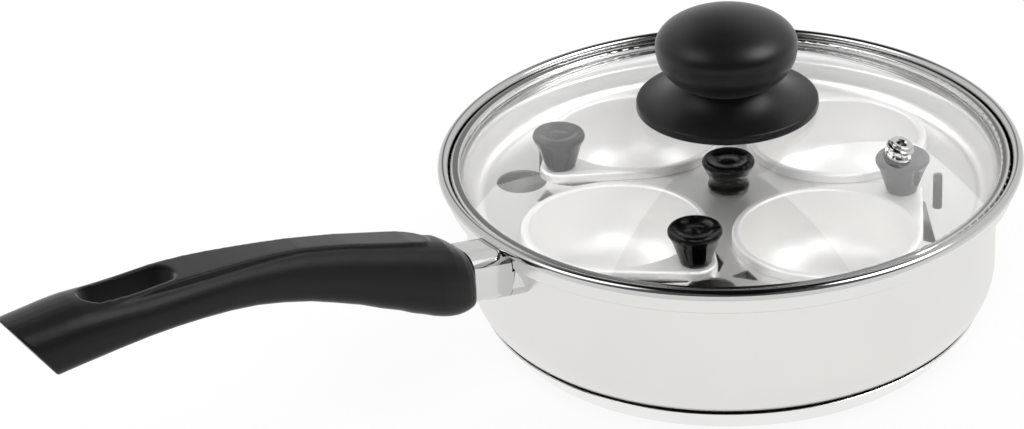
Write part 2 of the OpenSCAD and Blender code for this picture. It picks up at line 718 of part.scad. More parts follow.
module vent_eyelet() {
    flange_h = vent_h / 2;
    below = glass_t + 0.3;
    foot_h = 0.8;
    color(BRIGHT) at_vent() difference() {
        union() {
            translate([0, 0, 0.1]) rotate_extrude() polygon(concat([[0, 0], [vent_r - 0.6, 0]],
                arc(vent_r - 0.6, flange_h / 2, flange_h / 2, -90, 60, 6),
                [[vent_top_r, flange_h]], arc(vent_top_r - 0.6, vent_h - 0.6, 0.6, 0, 90, 4),
                [[vent_hole_r + 0.4, vent_h], [vent_hole_r, vent_h - 0.5], [0, vent_h - 0.5]]));
            translate([0, 0, -below]) cylinder(r = vent_tube_r, h = below + 1);
            translate([0, 0, -below - foot_h]) cylinder(r = vent_tube_r + 1.2, h = foot_h);
        }
        translate([0, 0, -below - 2]) cylinder(r = vent_hole_r, h = glass_t + vent_h + 4);
    }
}

module lid_knob() {
    fullness = 0.85;
    neck_a = -acos(pow(neck_r / ball_r, 1 / fullness));
    neck_z = ball_z - ball_low * pow(sin(-neck_a), fullness);
    edge = flare_r - flare_edge_r;
    band_top = flare_z + flare_h;
    color(BLACK) difference() {
        rotate_extrude() polygon(concat(
            [[0, flare_z]],
            arc(edge, flare_z + flare_edge_r, flare_edge_r, -90, 0, 4),
            arc(edge - 0.1, band_top - flare_edge_r, flare_edge_r, 0, 75, 4),
            bend([edge - 1, band_top + 0.1], [neck_r + 5, band_top + 1.2], [neck_r, neck_z], 10),
            [for (i = [1:8]) let (a = neck_a * (1 - i / 8))
                [ball_r * pow(cos(a), fullness), ball_z - ball_low * pow(sin(-a), fullness)]],
            ellipse_arc(0, ball_z, ball_r, ball_top, 8, 88, 12), [[0, ball_z + ball_top * sin(88)]]));
        rotate_extrude() polygon([[0, flare_z - 5], [edge - 1.8, flare_z - 5], [edge - 1.8, flare_z + 0.8],
            [neck_r + 3, flare_z + 2.8], [boss_r, seal_top - 0.2], [boss_r, seal_top], [0, seal_top]]);
        translate([0, 0, seal_top - 1]) cylinder(r = lid_insert_r, h = lid_insert_len + 1);
    }
}

module lid_knob_insert() {
    color(BRASS) translate([0, 0, seal_top]) difference() {
        cylinder(r = lid_insert_r, h = lid_insert_len);
        translate([0, 0, -1]) cylinder(r = lid_screw_r + 0.05, h = lid_insert_len);
    }
}

module lid_seal() {
    color(SILICONE) difference() {
        translate([0, 0, seal_top - seal_t - 1]) cylinder(r = boss_r, h = seal_t + 1);
        translate([0, 0, seal_top - seal_t - 2]) cylinder(r = lid_screw_r + 0.3, h = seal_t + 3);
        dome_ball(-0.02);
    }
}

lid_washer_z = apex_z - glass_t - washer_t - 0.2;

module lid_washer() {
    color(BRIGHT) translate([0, 0, lid_washer_z]) difference() {
        cylinder(r = lid_washer_r, h = washer_t);
        translate([0, 0, -1]) cylinder(r = lid_screw_r + 0.2, h = washer_t + 2);
    }
}

module lid_screw() {
    color(STEEL) translate([0, 0, lid_washer_z])
        screw(lid_screw_r, seal_top + lid_insert_len - 2 - lid_washer_z, lid_head_r, lid_head_h);
}

pan_body();
base_core();
base_cap();
handle_bracket();
handle_ferrule();
handle_grip();
handle_screw();
tray_plate();
tray_knob();
tray_knob_insert();
tray_knob_washer();
tray_knob_screw();
cup_1();
cup_2();
cup_3();
cup_4();
cup_knob_1();
cup_knob_2();
cup_knob_3();
cup_knob_4();
cup_insert_1();
cup_insert_2();
cup_insert_3();
cup_insert_4();
cup_screw_1();
cup_screw_2();
cup_screw_3();
cup_screw_4();
lid_glass();
lid_band();
vent_eyelet();
lid_knob();
lid_knob_insert();
lid_seal();
lid_washer();
lid_screw();
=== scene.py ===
"""Looks, light and camera for the egg poacher pan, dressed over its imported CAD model."""
import json
import math

import bmesh
import bpy
from mathutils import Matrix, Vector


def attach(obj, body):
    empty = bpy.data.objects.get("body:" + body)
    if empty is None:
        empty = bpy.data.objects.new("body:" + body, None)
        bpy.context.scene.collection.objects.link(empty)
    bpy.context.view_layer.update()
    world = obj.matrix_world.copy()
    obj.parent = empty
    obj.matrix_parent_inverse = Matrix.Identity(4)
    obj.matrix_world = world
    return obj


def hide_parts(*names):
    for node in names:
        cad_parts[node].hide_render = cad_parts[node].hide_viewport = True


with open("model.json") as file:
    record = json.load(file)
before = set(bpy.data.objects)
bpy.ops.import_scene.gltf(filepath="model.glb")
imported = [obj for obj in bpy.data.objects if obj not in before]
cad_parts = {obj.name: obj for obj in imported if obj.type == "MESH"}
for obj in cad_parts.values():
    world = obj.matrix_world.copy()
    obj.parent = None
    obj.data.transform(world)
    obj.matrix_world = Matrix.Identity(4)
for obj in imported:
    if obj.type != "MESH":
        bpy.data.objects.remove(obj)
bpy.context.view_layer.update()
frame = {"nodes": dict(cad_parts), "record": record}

nodes = frame["nodes"]
MM = 0.001

# Sizes in millimetres, the same as the part's own source
WALL_R = 96.0
WALL_T = 0.8
RIM_H = 64.0
BEAD_R = 1.9
BEAD_AT = 103.1
COLLAR_R = 102.5
LEDGE_UNDER = 56.0
LEDGE_BEND_R = 2.5
COLLAR_BEND_R = 1.6
CORNER_R = 18.0
FLOOR_H = 5.5
CUP_AT = 52.4
CUP_TURN = 1.5
TAB_TURN = 96.0
TAB_LEN = 39.5
TAB_R = 7.5
FLANGE_R = 33.0
MOUTH_R = 30.0
CUP_T = 0.8
CUP_TOP = 52.3
CUP_DEPTH = 25.4
TRAY_Z = 48.9
BOWL_R = 16.0
BOWL_LEAN = 8.0
LIP_R = 1.2
KNOB_CAP_R = 9.5
DOME_R = 96.3
DOME_H = 22.8


# Shapes
def arc(x, y, r, start, end, steps=12):
    """Points of an arc in a profile plane, angles in degrees."""
    return [(x + r * math.cos(math.radians(start + (end - start) * i / steps)),
             y + r * math.sin(math.radians(start + (end - start) * i / steps)))
            for i in range(steps + 1)]


def shaded(name, vertices, faces, material, sharp_angle=38):
    """A smooth object from points in millimetres, with its sharp edges kept."""
    mesh = bpy.data.meshes.new(name)
    mesh.from_pydata([Vector(v) * MM for v in vertices], [], faces)
    edit = bmesh.new()
    edit.from_mesh(mesh)
    bmesh.ops.remove_doubles(edit, verts=edit.verts, dist=1e-7)
    bmesh.ops.recalc_face_normals(edit, faces=edit.faces)
    edit.to_mesh(mesh)
    edit.free()
    mesh.shade_smooth()
    mesh.set_sharp_from_angle(angle=math.radians(sharp_angle))
    mesh.materials.append(material)
    piece = bpy.data.objects.new(name, mesh)
    bpy.context.scene.collection.objects.link(piece)
    return piece


def lathe(name, profile, material, closed=True, steps=240, place=None, sharp_angle=38):
    """Turns a profile of (radius, height) points round +Z."""
    place = place or Matrix.Identity(4)
    vertices, rings = [], []
    for r, z in profile:
        ring = []
        count = 1 if r < 1e-6 else steps
        for i in range(count):
            a = 2 * math.pi * i / steps
            ring.append(len(vertices))
            vertices.append(place @ Vector((r * math.cos(a), r * math.sin(a), z)))
        rings.append(ring)
    pairs = list(zip(rings, rings[1:] + rings[:1])) if closed else list(zip(rings, rings[1:]))
    faces = []
    for low, high in pairs:
        if len(low) == 1 and len(high) == 1:
            continue
        for i in range(steps):
            j = (i + 1) % steps
            corner = [low[i % len(low)], low[j % len(low)], high[j % len(high)], high[i % len(high)]]
            faces.append([c for k, c in enumerate(corner) if c not in corner[:k]])
    return shaded(name, vertices, faces, material, sharp_angle)


def smooth_copy(name, node, material, sharp_angle=30):
    """The CAD node's own shape with its seams welded and its curved faces shaded smooth."""
    mesh = nodes[node].data.copy()
    mesh.name = name
    edit = bmesh.new()
    edit.from_mesh(mesh)
    bmesh.ops.remove_doubles(edit, verts=edit.verts, dist=2e-6)
    edit.to_mesh(mesh)
    edit.free()
    mesh.shade_smooth()
    mesh.set_sharp_from_angle(angle=math.radians(sharp_angle))
    mesh.materials.clear()
    mesh.materials.append(material)
    piece = bpy.data.objects.new(name, mesh)
    bpy.context.scene.collection.objects.link(piece)
    weighted = piece.modifiers.new("weighted", "WEIGHTED_NORMAL")
    weighted.keep_sharp = True
    return piece


def dress(piece, body, node):
    """Lets a piece stand for a CAD node and move with its body."""
    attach(piece, body)
    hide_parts(node)
    return piece


# Materials
RING_LINES = 2600
RIM_ROUGHNESS = 0.09


class Tree:
    """A node tree under construction."""

    def __init__(self, owner):
        owner.use_nodes = True
        self.tree = owner.node_tree

    def node(self, kind, **values):
        made = self.tree.nodes.new(kind)
        for key, value in values.items():
            if hasattr(made, key):
                setattr(made, key, value)
            else:
                made.inputs[key.replace("_", " ")].default_value = value
        return made

    def join(self, source, target):
        self.tree.links.new(source, target)

    def math(self, operation, a, b=None):
        made = self.node("ShaderNodeMath", operation=operation)
        for socket, value in zip(made.inputs, (a, b)):
            if value is None:
                continue
            if isinstance(value, (int, float)):
                socket.default_value = value
            else:
                self.join(value, socket)
        return made.outputs[0]

    def along(self, place, direction):
        """How far a place or direction lies along a fixed direction."""
        made = self.node("ShaderNodeVectorMath", operation="DOT_PRODUCT")
        self.join(place, made.inputs[0])
        made.inputs[1].default_value = direction
        return made.outputs["Value"]

    def spread(self, value, low, high, from_low=0.3, from_high=0.7, soft=False):
        """A value spread over a range."""
        made = self.node("ShaderNodeMapRange", interpolation_type="SMOOTHSTEP" if soft else "LINEAR")
        made.inputs["From Min"].default_value = from_low
        made.inputs["From Max"].default_value = from_high
        made.inputs["To Min"].default_value = low
        made.inputs["To Max"].default_value = high
        self.join(value, made.inputs["Value"])
        return made.outputs[0]


class Look(Tree):
    """A material under construction: its node tree and its one shader."""

    def __init__(self, name, color, metallic, roughness, **constants):
        self.material = bpy.data.materials.new(name)
        super().__init__(self.material)
        self.shader = self.tree.nodes["Principled BSDF"]
        self.shader.inputs["Base Color"].default_value = (*color, 1)
        self.shader.inputs["Metallic"].default_value = metallic
        self.shader.inputs["Roughness"].default_value = roughness
        for socket, value in constants.items():
            self.shader.inputs[socket.replace("_", " ")].default_value = value

    def place(self):
        """Position on the object, in metres."""
        return self.node("ShaderNodeTexCoord").outputs["Object"]

    def turned_place(self, lines, along):
        """Position stretched round the Z axis, for marks left by turning or polishing."""
        split = self.node("ShaderNodeSeparateXYZ")
        self.join(self.place(), split.inputs[0])
        x, y, z = split.outputs
        angle = self.math("ARCTAN2", y, x)
        radius = self.math("SQRT", self.math("ADD", self.math("MULTIPLY", x, x), self.math("MULTIPLY", y, y)))
        merged = self.node("ShaderNodeCombineXYZ")
        self.join(self.math("MULTIPLY", angle, along), merged.inputs[0])
        self.join(self.math("MULTIPLY", radius, lines), merged.inputs[1])
        self.join(self.math("MULTIPLY", z, lines), merged.inputs[2])
        return merged.outputs[0]

    def noise(self, place, scale, detail=3.0, rough=0.5):
        made = self.node("ShaderNodeTexNoise", Scale=scale, Detail=detail)
        made.inputs["Roughness"].default_value = rough
        self.join(place, made.inputs["Vector"])
        return made.outputs[0]

    def set_roughness(self, value, low, high):
        self.join(self.spread(value, low, high), self.shader.inputs["Roughness"])

    def blend(self, share, low, high):
        """A colour between two others; each is a plain colour or another blend."""
        made = self.node("ShaderNodeMix", data_type="RGBA")
        for socket in made.inputs:
            if socket.type == "RGBA":
                value = low if socket.name == "A" else high
                if isinstance(value, (tuple, list)):
                    socket.default_value = (*value, 1)
                else:
                    self.join(value, socket)
        self.join(share, made.inputs["Factor"])
        return [o for o in made.outputs if o.type == "RGBA"][0]

    def set_color(self, value, dark, light):
        self.join(self.blend(self.spread(value, 0, 1), dark, light), self.shader.inputs["Base Color"])

    def bump(self, value, strength, distance):
        """Lets a height map tilt the shader's normal."""
        made = self.node("ShaderNodeBump", Strength=strength, Distance=distance)
        self.join(value, made.inputs["Height"])
        self.join(made.outputs[0], self.shader.inputs["Normal"])

    def radial_tangent(self):
        """Lets the anisotropy run round the Z axis."""
        tangent = self.node("ShaderNodeTangent", direction_type="RADIAL", axis="Z")
        self.join(tangent.outputs[0], self.shader.inputs["Tangent"])

    def turned_rings(self):
        return self.noise(self.turned_place(RING_LINES, 1.2), 1.0, 2.0)

    def average(self, a, b):
        return self.math("ADD", self.math("MULTIPLY", a, 0.5), self.math("MULTIPLY", b, 0.5))


def turned_steel(name, color, low, high, anisotropy, line_height=0.000004):
    """Steel with fine rings round the axis, as left by turning and satin polish."""
    look = Look(name, color, 1.0, high, Anisotropic=anisotropy)
    look.radial_tangent()
    rings = look.turned_rings()
    cloud = look.noise(look.place(), 28.0, 3.0)
    look.set_roughness(look.average(rings, cloud), low, high)
    look.set_color(cloud, [c * 0.94 for c in color], color)
    look.bump(rings, 0.5, line_height)
    return look.material


def drawn_steel(name, color, rim, low, high):
    """The pan's steel: satin, and polished at its rim."""
    look = Look(name, color, 1.0, high, Anisotropic=0.4)
    look.radial_tangent()
    cloud = look.noise(look.place(), 28.0, 3.0)
    height = look.along(look.place(), (0, 0, 1))
    at_rim = look.spread(height, 0.0, 1.0, (RIM_H - 3.0) * MM, (RIM_H - 2.0) * MM)
    satin_color = look.blend(look.spread(cloud, 0, 1), [c * 0.97 for c in color], color)
    look.join(look.blend(at_rim, satin_color, rim), look.shader.inputs["Base Color"])
    satin = look.spread(cloud, low, high)
    smoother = look.math("MULTIPLY", at_rim, look.math("SUBTRACT", satin, RIM_ROUGHNESS))
    look.join(look.math("SUBTRACT", satin, smoother), look.shader.inputs["Roughness"])
    rings = look.turned_rings()
    look.bump(rings, 0.5, 0.0000001)
    return look.material


def polished_steel(name, color, low, high, metallic=1.0, ripple_height=0.00002):
    """Polished steel with a trace of haze and wipe marks; a satin finish is a little less metallic."""
    look = Look(name, color, metallic, high)
    haze = look.noise(look.place(), 60.0, 4.0)
    look.set_roughness(haze, low, high)
    ripple = look.noise(look.place(), 90.0, 2.0)
    look.set_color(haze, [c * 0.98 for c in color], color)
    look.bump(ripple, 0.25, ripple_height)
    return look.material


def moulded_plastic(name, color, low, high, grain, grain_height, gloss=0.5, sheen=0.0):
    """Moulded black phenolic or plastic with a fine grain, which looks paler at a glancing angle."""
    look = Look(name, color, 0.0, high, Specular_IOR_Level=gloss, Sheen_Weight=sheen, Sheen_Roughness=0.4)
    fine = look.noise(look.place(), grain, 3.0, 0.6)
    cloud = look.noise(look.place(), 45.0, 3.0)
    look.set_roughness(look.average(fine, cloud), low, high)
    look.set_color(cloud, color, [c * 1.35 for c in color])
    look.bump(fine, 0.6, grain_height)
    return look.material


def clear_glass(name):
    """Clear tempered glass; light for the pieces under it passes straight through."""
    look = Look(name, (0.985, 0.985, 0.985), 0.0, 0.0, IOR=1.5, Transmission_Weight=1.0)
    dust = look.noise(look.place(), 40.0, 4.0)
    look.join(look.spread(dust, 0.0, 0.02, 0.5, 0.75), look.shader.inputs["Roughness"])
    path = look.node("ShaderNodeLightPath")
    passed = look.node("ShaderNodeBsdfTransparent")
    passed.inputs[0].default_value = (0.91, 0.91, 0.91, 1)
    mixed = look.node("ShaderNodeMixShader")
    light_only = look.math("MAXIMUM", path.outputs["Is Shadow Ray"], path.outputs["Is Diffuse Ray"])
    look.join(light_only, mixed.inputs[0])
    look.join(look.shader.outputs[0], mixed.inputs[1])
    look.join(passed.outputs[0], mixed.inputs[2])
    look.join(mixed.outputs[0], look.tree.nodes["Material Output"].inputs["Surface"])
    return look.material


PAN_STEEL = drawn_steel("pan_steel", (0.785, 0.78, 0.76), (0.58, 0.58, 0.575), 0.24, 0.26)
BASE_STEEL = turned_steel("base_steel", (0.88, 0.875, 0.86), 0.12, 0.20, 0.3, 0.000001)
TRAY_STEEL = polished_steel("tray_steel", (0.86, 0.855, 0.84), 0.33, 0.35, 0.7, 0.0)
BRIGHT_STEEL = polished_steel("bright_steel", (0.66, 0.66, 0.655), 0.04, 0.09)
CUP_STEEL = polished_steel("cup_steel", (0.95, 0.945, 0.93), 0.40, 0.46, 0.35, 0.000002)
SCREW_STEEL = polished_steel("screw_steel", (0.70, 0.70, 0.69), 0.22, 0.32)
# the core's aluminium is coloured dark grey (0.35), much darker than bare aluminium: painted shade for the
# dark groove line between the base cap and the pan's wall
SHADED_CORE_ALUMINIUM = turned_steel("core_aluminium", (0.35, 0.35, 0.36), 0.40, 0.55, 0.2)
HANDLE_BLACK = moulded_plastic("handle_black", (0.003, 0.003, 0.003), 0.36, 0.46, 2600.0, 0.00006,
                               gloss=0.16, sheen=0.35)
LID_KNOB_BLACK = moulded_plastic("lid_knob_black", (0.003, 0.003, 0.003), 0.32, 0.40, 2400.0, 0.00003,
                                 gloss=0.30, sheen=0.12)
KNOB_BLACK = moulded_plastic("knob_black", (0.001, 0.001, 0.001), 0.07, 0.12, 900.0, 0.000003, 0.22)
INSERT_BRASS = polished_steel("insert_brass", (0.78, 0.62, 0.32), 0.25, 0.35)
SEAL_SILICONE = moulded_plastic("seal_silicone", (0.60, 0.60, 0.58), 0.50, 0.60, 1500.0, 0.00001)
LID_GLASS = clear_glass("lid_glass")

SLOT_LOOKS = {
    "pan_steel": PAN_STEEL, "base_steel": BASE_STEEL, "tray_steel": TRAY_STEEL, "bright_steel": BRIGHT_STEEL,
    "cup_steel": CUP_STEEL, "screw_steel": SCREW_STEEL, "core_aluminium": SHADED_CORE_ALUMINIUM,
    "handle_black": HANDLE_BLACK, "lid_knob_black": LID_KNOB_BLACK, "knob_black": KNOB_BLACK,
    "insert_brass": INSERT_BRASS, "seal_silicone": SEAL_SILICONE, "lid_glass": LID_GLASS}
for part in frame["record"]["subparts"]:
    look = SLOT_LOOKS[part["material_slot"]]
    mesh = nodes[part["node"]].data
    mesh.materials.clear()
    mesh.materials.append(look)


# Pan
def pan_path(depth):
    """The pan's outer surface, or the surface at a depth inside its steel."""
    return ([(0, FLOOR_H + depth)]
            + arc(WALL_R - CORNER_R, FLOOR_H + CORNER_R, CORNER_R - depth, -90, 0, 28)
            + arc(WALL_R + LEDGE_BEND_R, LEDGE_UNDER - LEDGE_BEND_R, LEDGE_BEND_R + depth, 180, 90, 12)
            + arc(COLLAR_R - COLLAR_BEND_R, LEDGE_UNDER + COLLAR_BEND_R, COLLAR_BEND_R - depth, -90, 0, 8))


def bead_angle(wall_x):
    return math.degrees(math.acos((wall_x - BEAD_AT) / BEAD_R))


bead = arc(BEAD_AT, RIM_H, BEAD_R, -bead_angle(COLLAR_R), 360 - bead_angle(COLLAR_R - WALL_T), 40)
pan = lathe("pan_shell", pan_path(0) + bead + pan_path(WALL_T)[::-1], PAN_STEEL, steps=320)
dress(pan, "pan", "pan_body")

for node, body, slot in (("base_cap", "pan", "base_steel"), ("base_core", "pan", "core_aluminium"),
                         ("handle_bracket", "pan", "bright_steel"), ("handle_ferrule", "pan", "bright_steel"),
                         ("tray_plate", "tray", "tray_steel"), ("lid_band", "lid", "bright_steel")):
    dress(smooth_copy(node + "_piece", node, SLOT_LOOKS[slot]), body, node)


def moulded_copy(name, node, material, voxel=0.5, rounds=6):
    """The CAD node's shape remeshed and relaxed, so that its edges have the small rounds of a moulding."""
    piece = smooth_copy(name, node, material)
    piece.modifiers.clear()
    remesh = piece.modifiers.new("remesh", "REMESH")
    remesh.mode = "VOXEL"
    remesh.voxel_size = voxel * MM
    remesh.use_smooth_shade = True
    relax = piece.modifiers.new("relax", "SMOOTH")
    relax.factor = 0.5
    relax.iterations = rounds
    bpy.context.view_layer.update()
    made = bpy.data.meshes.new_from_object(piece.evaluated_get(bpy.context.evaluated_depsgraph_get()))
    piece.modifiers.clear()
    piece.data = made
    made.materials.clear()
    made.materials.append(material)
    made.shade_smooth()
    return piece


dress(moulded_copy("handle_grip_piece", "handle_grip", HANDLE_BLACK), "pan", "handle_grip")


# Cups
def cup_place(k):
    """Where cup k stands, with x along its tab."""
    return (Matrix.Rotation(math.radians(CUP_TURN + 90 * (k - 1)), 4, "Z") @ Matrix.Translation((CUP_AT, 0, 0))
            @ Matrix.Rotation(math.radians(TAB_TURN), 4, "Z"))


def teardrop(inset, z, steps=240):
    """One ring of points round the cup's flange, at a distance inside its edge."""
    big, small = FLANGE_R - inset, TAB_R - inset
    lean = math.acos((FLANGE_R - TAB_R) / TAB_LEN)
    side = math.sqrt(TAB_LEN ** 2 - (FLANGE_R - TAB_R) ** 2)
    ring = []
    for i in range(steps):
        a = 2 * math.pi * i / steps
        turn = a if a <= math.pi else 2 * math.pi - a
        sign = 1 if a <= math.pi else -1
        # a quarter of the points go to the tab's round end and its straight sides
        if turn < math.radians(25):
            t = turn / math.radians(25) * lean
            x, y = TAB_LEN + small * math.cos(t), small * math.sin(t)
        elif turn < math.radians(60):
            t = (turn - math.radians(25)) / math.radians(35)
            nx, ny = math.cos(lean), math.sin(lean)
            x = TAB_LEN + small * nx - t * side * ny
            y = small * ny + t * side * nx
        else:
            t = lean + (turn - math.radians(60)) / math.radians(120) * (math.pi - lean)
            x, y = big * math.cos(t), big * math.sin(t)
        ring.append(Vector((x, sign * y, z)))
    return ring


def round_ring(r, z, steps=240):
    """A ring of points on the cup's mouth or bowl, in step with the flange's points."""
    ring = []
    for p in teardrop(0, z, steps):
        a = math.atan2(p.y, p.x)
        ring.append(Vector((r * math.cos(a), r * math.sin(a), z)))
    return ring


def ring_skin(name, rings, material, place, sharp_angle=38):
    """Skin through rings of points; a ring of one point closes an end."""
    vertices, faces, starts = [], [], []
    for ring in rings:
        starts.append(len(vertices))
        vertices += [place @ p for p in ring]
    for a, b, ring_a, ring_b in zip(starts, starts[1:], rings, rings[1:]):
        steps = max(len(ring_a), len(ring_b))
        for i in range(steps):
            j = (i + 1) % steps
            corner = [a + i % len(ring_a), a + j % len(ring_a), b + j % len(ring_b), b + i % len(ring_b)]
            faces.append([c for k, c in enumerate(corner) if c not in corner[:k]])
    return shaded(name, vertices, faces, material, sharp_angle)


def bowl_path(out):
    """Inner surface of a cup from its lip to the middle of its bottom, or a surface outside it."""
    bottom = CUP_TOP - CUP_DEPTH
    lean = math.radians(BOWL_LEAN)
    lip_x, lip_y = MOUTH_R + LIP_R, CUP_TOP - LIP_R
    fall = lip_y + LIP_R * math.sin(lean) - (bottom + BOWL_R - BOWL_R * math.sin(lean))
    bowl_at = lip_x - LIP_R * math.cos(lean) - fall * math.tan(lean) - BOWL_R * math.cos(lean)
    return (arc(lip_x, lip_y, LIP_R - out, 90, 180 - BOWL_LEAN, 10)
            + arc(bowl_at, bottom + BOWL_R, BOWL_R + out, -BOWL_LEAN, -90, 20) + [(0, bottom - out)])


def cup_rings():
    """Rings from the middle of the bowl's outside, round the flange, to the middle of its inside."""
    rings = [[Vector((0, 0, CUP_TOP - CUP_DEPTH - CUP_T))]]
    rings += [round_ring(r, z) for r, z in bowl_path(CUP_T)[::-1][1:]]
    rings.append(teardrop(CUP_T, CUP_TOP - CUP_T))
    rings.append(teardrop(CUP_T, TRAY_Z + 0.1))
    rings.append(teardrop(0, TRAY_Z + 0.1))
    edge_r = 1.1
    for x, z in arc(edge_r, CUP_TOP - edge_r, edge_r, 180, 90, 8):
        rings.append(teardrop(x, z))
    rings += [round_ring(r, z) for r, z in bowl_path(0)[:-1]]
    rings.append([Vector((0, 0, CUP_TOP - CUP_DEPTH))])
    return rings


def knob_cap(h):
    """Profile of a small knob's cap: a rolled edge round a shallow dish with a raised eye."""
    return ([(KNOB_CAP_R * 0.86, h - 5.2), (KNOB_CAP_R * 0.9, h - 4.4)]
            + arc(KNOB_CAP_R - 1.7, h - 2.2, 1.7, -30, 80, 12)
            + [(KNOB_CAP_R - 3.2, h - 0.9), (KNOB_CAP_R - 4.2, h - 1.5), (KNOB_CAP_R - 6.4, h - 1.5),
               (KNOB_CAP_R - 7.2, h - 1.1), (0, h - 0.9)])


def bend(a, pull, b, steps=14):
    """Points of a curve from a to b with one pull point."""
    return [tuple((1 - u) ** 2 * a[i] + 2 * u * (1 - u) * pull[i] + u * u * b[i] for i in (0, 1))
            for u in (n / steps for n in range(steps + 1))]


def insert_bore(height, r=3.4):
    """The blind hole that holds a knob's brass insert, from the outside in."""
    return [(0, height), (r, height), (r, 0)]


for k in range(1, 5):
    cup = ring_skin(f"cup_{k}_piece", cup_rings(), CUP_STEEL, cup_place(k))
    dress(cup, f"egg_cup_{k}", f"cup_{k}")
    profile = (insert_bore(9) + [(4.9, 0)] + arc(4.5, 1.1, 1.1, -70, 0, 4)
               + [(KNOB_CAP_R * 0.84, 8.4)] + knob_cap(14))
    knob = lathe(f"cup_knob_{k}_piece", profile, KNOB_BLACK, closed=False, steps=96,
                 place=cup_place(k) @ Matrix.Translation((TAB_LEN, 0, CUP_TOP)), sharp_angle=50)
    dress(knob, f"egg_cup_{k}", f"cup_knob_{k}")

TRAY_KNOB_H = 12.2
TRAY_KNOB_FOOT_R = 7.5
profile = (insert_bore(9) + arc(TRAY_KNOB_FOOT_R - 1.1, 1.1, 1.1, -90, 0, 6)
           + bend((TRAY_KNOB_FOOT_R, 1.4), (6.3, TRAY_KNOB_H * 0.36), (KNOB_CAP_R * 0.86, TRAY_KNOB_H - 5.4))
           + knob_cap(TRAY_KNOB_H))
dress(lathe("tray_knob_piece", profile, KNOB_BLACK, closed=False, steps=96,
            place=Matrix.Translation((0, 0, TRAY_Z)), sharp_angle=50), "tray", "tray_knob")


# Lid
GLASS_Z = 58.6
GLASS_T = 3.6
GLASS_R = 100.1
DOME_SPHERE_R = (DOME_R ** 2 + DOME_H ** 2) / (2 * DOME_H)
APEX_Z = GLASS_Z + GLASS_T + DOME_H
SCREW_HOLE_R = 2.75
VENT_AT = 63.9
VENT_TURN = -59.0
VENT_R = 5.0
VENT_DRILL_R = 3.6
FLARE_R = 32.6
FLARE_H = 3.2
FLARE_EDGE_R = 0.8
FLARE_Z = APEX_Z - 2.1
BALL_R = 25.2
BALL_TOP = 11.8
BALL_LOW = 16.8
BALL_FULLNESS = 0.85
BALL_Z = FLARE_Z + 24.1
NECK_R = 17.0
BOSS_R = 11.0
SEAL_TOP = APEX_Z + 1.0


def dome(r, sphere_r):
    """Height of a dome surface at a distance from the axis."""
    return APEX_Z - DOME_SPHERE_R + math.sqrt(sphere_r ** 2 - r ** 2)


def glass_profile():
    rings = 30
    inner_r = math.sqrt((DOME_SPHERE_R - GLASS_T) ** 2 - (GLASS_Z - APEX_Z + DOME_SPHERE_R) ** 2)
    top = [SCREW_HOLE_R + (DOME_R - SCREW_HOLE_R) * i / rings for i in range(rings + 1)]
    under = [inner_r + (SCREW_HOLE_R - inner_r) * i / rings for i in range(rings + 1)]
    return ([(r, dome(r, DOME_SPHERE_R)) for r in top]
            + arc(GLASS_R - 0.8, GLASS_Z + GLASS_T - 0.8, 0.8, 90, 0, 4)
            + arc(GLASS_R - 0.8, GLASS_Z + 0.8, 0.8, 0, -90, 4)
            + [(r, dome(r, DOME_SPHERE_R - GLASS_T)) for r in under])


def vent_place():
    lean = math.asin(VENT_AT / DOME_SPHERE_R)
    return (Matrix.Rotation(math.radians(VENT_TURN), 4, "Z")
            @ Matrix.Translation((VENT_AT, 0, dome(VENT_AT, DOME_SPHERE_R)))
            @ Matrix.Rotation(lean, 4, "Y"))


glass = lathe("lid_glass_piece", glass_profile()[::-1], LID_GLASS, steps=256)
drill = lathe("vent_drill", [(0, -8), (VENT_DRILL_R, -8), (VENT_DRILL_R, 2), (0, 2)], LID_GLASS, closed=False,
              steps=48, place=vent_place())
cut = glass.modifiers.new("vent", "BOOLEAN")
cut.object = drill
cut.solver = "EXACT"
bpy.context.view_layer.update()
cut_mesh = bpy.data.meshes.new_from_object(glass.evaluated_get(bpy.context.evaluated_depsgraph_get()))
glass.modifiers.clear()
glass.data = cut_mesh
bpy.data.objects.remove(drill)


def round_dome_normals(mesh):
    """Gives the two dome surfaces the normals of true spheres, so that the cut leaves no mark in them."""
    mesh.shade_smooth()
    mesh.set_sharp_from_angle(angle=math.radians(30))
    center = Vector((0, 0, (APEX_Z - DOME_SPHERE_R) * MM))
    normals = [Vector((0, 0, 0))] * len(mesh.loops)
    for face in mesh.polygons:
        for i in face.loop_indices:
            out = mesh.vertices[mesh.loops[i].vertex_index].co - center
            on_dome = min(abs(out.length / MM - r) for r in (DOME_SPHERE_R, DOME_SPHERE_R - GLASS_T)) < 0.02
            lined_up = face.normal.dot(out.normalized())
            if on_dome and abs(lined_up) > 0.9:
                normals[i] = out.normalized() * math.copysign(1, lined_up)
    mesh.normals_split_custom_set(normals)


round_dome_normals(cut_mesh)
dress(glass, "lid", "lid_glass")


eyelet_profile = ([(1.75, -4.6), (4.6, -4.6), (4.6, -3.9), (3.4, -3.9), (3.4, 0.1), (4.4, 0.1)]
                  + arc(VENT_R - 0.6, 0.7, 0.6, -90, 60, 5) + [(4.0, 1.5)]
                  + arc(3.4, 2.3, 0.6, 10, 90, 4) + [(2.2, 2.7), (1.75, 2.2)])
dress(lathe("vent_eyelet_piece", eyelet_profile, BRIGHT_STEEL, steps=48, place=vent_place(), sharp_angle=20),
      "lid", "vent_eyelet")


